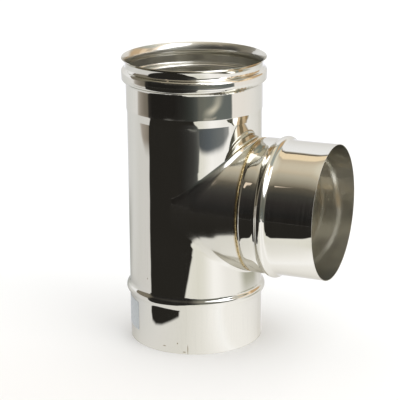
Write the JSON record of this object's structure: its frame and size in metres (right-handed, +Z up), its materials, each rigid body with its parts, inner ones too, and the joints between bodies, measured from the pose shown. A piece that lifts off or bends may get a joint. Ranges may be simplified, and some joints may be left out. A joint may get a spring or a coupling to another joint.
{
  "type": "pipe tee",
  "caption": "Equal tee for single-wall stainless flue pipe: rolled socket on top, spigots with stop beads at the foot and on the side branch.",
  "frame": {"origin": "centre of the lower spigot's open end", "axes": "+Z up the run, out of the socket; +X out of the branch; the branch's axis crosses the run's"},
  "size_m": [0.197, 0.13, 0.26],
  "materials": {
    "bright_stainless": "bright-annealed stainless steel sheet, mirror smooth, not plated",
    "weld_seam": "rippled weld metal with a straw heat tint",
    "blank_label": "small blank paper sticker, satin, faint blue-grey"
  },
  "bodies": {
    "root": {"body_tube": "bright_stainless", "branch_tube": "bright_stainless", "branch_weld": "weld_seam"}
  },
  "joints": []
}
